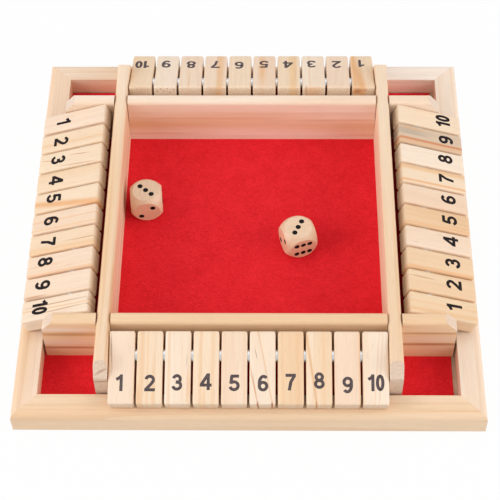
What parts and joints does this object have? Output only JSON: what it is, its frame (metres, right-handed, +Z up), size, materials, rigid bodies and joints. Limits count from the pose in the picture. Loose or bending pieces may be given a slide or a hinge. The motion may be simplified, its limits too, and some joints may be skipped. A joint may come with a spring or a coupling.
{
  "type": "shut the box game",
  "caption": "Shut the box board: a mitred wooden tray with a felt-lined rolling well, hinged number tiles on steel rods along every side, and loose dice.",
  "frame": {"origin": "centre of the underside, on the table", "axes": "+Z up; -Y towards the player at the front; +X to that player's right"},
  "size_m": [0.218, 0.218, 0.0325],
  "materials": {
    "frame_pine": "sanded bare pine",
    "divider_pine": "sanded bare pine",
    "tile_pine": "sanded bare pine",
    "dice_birch": "tumbled birch",
    "plywood": "plywood",
    "felt": "needled felt",
    "rod_steel": "drawn wire",
    "washer_steel": "bright plated",
    "ink": "printed ink"
  },
  "bodies": {
    "board": {"front_rail": "frame_pine", "right_rail": "frame_pine", "back_rail": "frame_pine", "left_rail": "frame_pine", "base_board": "plywood", "felt_lining": "felt", "front_divider": "divider_pine", "right_divider": "divider_pine", "back_divider": "divider_pine", "left_divider": "divider_pine", "front_rod": "rod_steel", "right_rod": "rod_steel", "back_rod": "rod_steel", "left_rod": "rod_steel", "front_washers": "washer_steel", "right_washers": "washer_steel", "back_washers": "washer_steel", "left_washers": "washer_steel"},
    "front_tile_1": {"front_tile_1": "tile_pine"},
    "front_tile_2": {"front_tile_2": "tile_pine"},
    "front_tile_3": {"front_tile_3": "tile_pine"},
    "front_tile_4": {"front_tile_4": "tile_pine"},
    "front_tile_5": {"front_tile_5": "tile_pine"},
    "front_tile_6": {"front_tile_6": "tile_pine"},
    "front_tile_7": {"front_tile_7": "tile_pine"},
    "front_tile_8": {"front_tile_8": "tile_pine"},
    "front_tile_9": {"front_tile_9": "tile_pine"},
    "front_tile_10": {"front_tile_10": "tile_pine"},
    "right_tile_1": {"right_tile_1": "tile_pine"},
    "right_tile_2": {"right_tile_2": "tile_pine"},
    "right_tile_3": {"right_tile_3": "tile_pine"},
    "right_tile_4": {"right_tile_4": "tile_pine"},
    "right_tile_5": {"right_tile_5": "tile_pine"},
    "right_tile_6": {"right_tile_6": "tile_pine"},
    "right_tile_7": {"right_tile_7": "tile_pine"},
    "right_tile_8": {"right_tile_8": "tile_pine"},
    "right_tile_9": {"right_tile_9": "tile_pine"},
    "right_tile_10": {"right_tile_10": "tile_pine"},
    "back_tile_1": {"back_tile_1": "tile_pine"},
    "back_tile_2": {"back_tile_2": "tile_pine"},
    "back_tile_3": {"back_tile_3": "tile_pine"},
    "back_tile_4": {"back_tile_4": "tile_pine"},
    "back_tile_5": {"back_tile_5": "tile_pine"},
    "back_tile_6": {"back_tile_6": "tile_pine"},
    "back_tile_7": {"back_tile_7": "tile_pine"},
    "back_tile_8": {"back_tile_8": "tile_pine"},
    "back_tile_9": {"back_tile_9": "tile_pine"},
    "back_tile_10": {"back_tile_10": "tile_pine"},
    "left_tile_1": {"left_tile_1": "tile_pine"},
    "left_tile_2": {"left_tile_2": "tile_pine"},
    "left_tile_3": {"left_tile_3": "tile_pine"},
    "left_tile_4": {"left_tile_4": "tile_pine"},
    "left_tile_5": {"left_tile_5": "tile_pine"},
    "left_tile_6": {"left_tile_6": "tile_pine"},
    "left_tile_7": {"left_tile_7": "tile_pine"},
    "left_tile_8": {"left_tile_8": "tile_pine"},
    "left_tile_9": {"left_tile_9": "tile_pine"},
    "left_tile_10": {"left_tile_10": "tile_pine"},
    "left_die": {"left_die": "dice_birch"},
    "right_die": {"right_die": "dice_birch"}
  },
  "joints": [
    {"name": "front_tile_1_flip", "type": "hinge", "parent": "board", "child": "front_tile_1", "pos_m": [-0.05783, -0.0838, 0.025], "axis": [-1, 0, 0], "range_deg": [0, 156]},
    {"name": "front_tile_2_flip", "type": "hinge", "parent": "board", "child": "front_tile_2", "pos_m": [-0.04498, -0.0838, 0.025], "axis": [-1, 0, 0], "range_deg": [0, 156]},
    {"name": "front_tile_3_flip", "type": "hinge", "parent": "board", "child": "front_tile_3", "pos_m": [-0.03213, -0.0838, 0.025], "axis": [-1, 0, 0], "range_deg": [0, 156]},
    {"name": "front_tile_4_flip", "type": "hinge", "parent": "board", "child": "front_tile_4", "pos_m": [-0.01928, -0.0838, 0.025], "axis": [-1, 0, 0], "range_deg": [0, 156]},
    {"name": "front_tile_5_flip", "type": "hinge", "parent": "board", "child": "front_tile_5", "pos_m": [-0.00643, -0.0838, 0.025], "axis": [-1, 0, 0], "range_deg": [0, 156]},
    {"name": "front_tile_6_flip", "type": "hinge", "parent": "board", "child": "front_tile_6", "pos_m": [0.00643, -0.0838, 0.025], "axis": [-1, 0, 0], "range_deg": [0, 156]},
    {"name": "front_tile_7_flip", "type": "hinge", "parent": "board", "child": "front_tile_7", "pos_m": [0.01928, -0.0838, 0.025], "axis": [-1, 0, 0], "range_deg": [0, 156]},
    {"name": "front_tile_8_flip", "type": "hinge", "parent": "board", "child": "front_tile_8", "pos_m": [0.03213, -0.0838, 0.025], "axis": [-1, 0, 0], "range_deg": [0, 156]},
    {"name": "front_tile_9_flip", "type": "hinge", "parent": "board", "child": "front_tile_9", "pos_m": [0.04498, -0.0838, 0.025], "axis": [-1, 0, 0], "range_deg": [0, 156]},
    {"name": "front_tile_10_flip", "type": "hinge", "parent": "board", "child": "front_tile_10", "pos_m": [0.05783, -0.0838, 0.025], "axis": [-1, 0, 0], "range_deg": [0, 156]},
    {"name": "right_tile_1_flip", "type": "hinge", "parent": "board", "child": "right_tile_1", "pos_m": [0.0838, -0.05783, 0.025], "axis": [0, -1, 0], "range_deg": [0, 156]},
    {"name": "right_tile_2_flip", "type": "hinge", "parent": "board", "child": "right_tile_2", "pos_m": [0.0838, -0.04498, 0.025], "axis": [0, -1, 0], "range_deg": [0, 156]},
    {"name": "right_tile_3_flip", "type": "hinge", "parent": "board", "child": "right_tile_3", "pos_m": [0.0838, -0.03213, 0.025], "axis": [0, -1, 0], "range_deg": [0, 156]},
    {"name": "right_tile_4_flip", "type": "hinge", "parent": "board", "child": "right_tile_4", "pos_m": [0.0838, -0.01928, 0.025], "axis": [0, -1, 0], "range_deg": [0, 156]},
    {"name": "right_tile_5_flip", "type": "hinge", "parent": "board", "child": "right_tile_5", "pos_m": [0.0838, -0.00643, 0.025], "axis": [0, -1, 0], "range_deg": [0, 156]},
    {"name": "right_tile_6_flip", "type": "hinge", "parent": "board", "child": "right_tile_6", "pos_m": [0.0838, 0.00642, 0.025], "axis": [0, -1, 0], "range_deg": [0, 156]},
    {"name": "right_tile_7_flip", "type": "hinge", "parent": "board", "child": "right_tile_7", "pos_m": [0.0838, 0.01927, 0.025], "axis": [0, -1, 0], "range_deg": [0, 156]},
    {"name": "right_tile_8_flip", "type": "hinge", "parent": "board", "child": "right_tile_8", "pos_m": [0.0838, 0.03212, 0.025], "axis": [0, -1, 0], "range_deg": [0, 156]},
    {"name": "right_tile_9_flip", "type": "hinge", "parent": "board", "child": "right_tile_9", "pos_m": [0.0838, 0.04497, 0.025], "axis": [0, -1, 0], "range_deg": [0, 156]},
    {"name": "right_tile_10_flip", "type": "hinge", "parent": "board", "child": "right_tile_10", "pos_m": [0.0838, 0.05782, 0.025], "axis": [0, -1, 0], "range_deg": [0, 156]},
    {"name": "back_tile_1_flip", "type": "hinge", "parent": "board", "child": "back_tile_1", "pos_m": [0.05783, 0.0838, 0.025], "axis": [1, 0, 0], "range_deg": [0, 156]},
    {"name": "back_tile_2_flip", "type": "hinge", "parent": "board", "child": "back_tile_2", "pos_m": [0.04498, 0.0838, 0.025], "axis": [1, 0, 0], "range_deg": [0, 156]},
    {"name": "back_tile_3_flip", "type": "hinge", "parent": "board", "child": "back_tile_3", "pos_m": [0.03213, 0.0838, 0.025], "axis": [1, 0, 0], "range_deg": [0, 156]},
    {"name": "back_tile_4_flip", "type": "hinge", "parent": "board", "child": "back_tile_4", "pos_m": [0.01928, 0.0838, 0.025], "axis": [1, 0, 0], "range_deg": [0, 156]},
    {"name": "back_tile_5_flip", "type": "hinge", "parent": "board", "child": "back_tile_5", "pos_m": [0.00643, 0.0838, 0.025], "axis": [1, 0, 0], "range_deg": [0, 156]},
    {"name": "back_tile_6_flip", "type": "hinge", "parent": "board", "child": "back_tile_6", "pos_m": [-0.00642, 0.0838, 0.025], "axis": [1, 0, 0], "range_deg": [0, 156]},
    {"name": "back_tile_7_flip", "type": "hinge", "parent": "board", "child": "back_tile_7", "pos_m": [-0.01927, 0.0838, 0.025], "axis": [1, 0, 0], "range_deg": [0, 156]},
    {"name": "back_tile_8_flip", "type": "hinge", "parent": "board", "child": "back_tile_8", "pos_m": [-0.03212, 0.0838, 0.025], "axis": [1, 0, 0], "range_deg": [0, 156]},
    {"name": "back_tile_9_flip", "type": "hinge", "parent": "board", "child": "back_tile_9", "pos_m": [-0.04497, 0.0838, 0.025], "axis": [1, 0, 0], "range_deg": [0, 156]},
    {"name": "back_tile_10_flip", "type": "hinge", "parent": "board", "child": "back_tile_10", "pos_m": [-0.05782, 0.0838, 0.025], "axis": [1, 0, 0], "range_deg": [0, 156]},
    {"name": "left_tile_1_flip", "type": "hinge", "parent": "board", "child": "left_tile_1", "pos_m": [-0.0838, 0.05783, 0.025], "axis": [0, 1, 0], "range_deg": [0, 156]},
    {"name": "left_tile_2_flip", "type": "hinge", "parent": "board", "child": "left_tile_2", "pos_m": [-0.0838, 0.04498, 0.025], "axis": [0, 1, 0], "range_deg": [0, 156]},
    {"name": "left_tile_3_flip", "type": "hinge", "parent": "board", "child": "left_tile_3", "pos_m": [-0.0838, 0.03213, 0.025], "axis": [0, 1, 0], "range_deg": [0, 156]},
    {"name": "left_tile_4_flip", "type": "hinge", "parent": "board", "child": "left_tile_4", "pos_m": [-0.0838, 0.01928, 0.025], "axis": [0, 1, 0], "range_deg": [0, 156]},
    {"name": "left_tile_5_flip", "type": "hinge", "parent": "board", "child": "left_tile_5", "pos_m": [-0.0838, 0.00643, 0.025], "axis": [0, 1, 0], "range_deg": [0, 156]},
    {"name": "left_tile_6_flip", "type": "hinge", "parent": "board", "child": "left_tile_6", "pos_m": [-0.0838, -0.00642, 0.025], "axis": [0, 1, 0], "range_deg": [0, 156]},
    {"name": "left_tile_7_flip", "type": "hinge", "parent": "board", "child": "left_tile_7", "pos_m": [-0.0838, -0.01927, 0.025], "axis": [0, 1, 0], "range_deg": [0, 156]},
    {"name": "left_tile_8_flip", "type": "hinge", "parent": "board", "child": "left_tile_8", "pos_m": [-0.0838, -0.03212, 0.025], "axis": [0, 1, 0], "range_deg": [0, 156]},
    {"name": "left_tile_9_flip", "type": "hinge", "parent": "board", "child": "left_tile_9", "pos_m": [-0.0838, -0.04497, 0.025], "axis": [0, 1, 0], "range_deg": [0, 156]},
    {"name": "left_tile_10_flip", "type": "hinge", "parent": "board", "child": "left_tile_10", "pos_m": [-0.0838, -0.05782, 0.025], "axis": [0, 1, 0], "range_deg": [0, 156]},
    {"name": "left_die_lift", "type": "slide", "parent": "board", "child": "left_die", "axis": [0, 0, 1], "range_m": [0, 0.04]},
    {"name": "right_die_lift", "type": "slide", "parent": "board", "child": "right_die", "axis": [0, 0, 1], "range_m": [0, 0.04]}
  ]
}
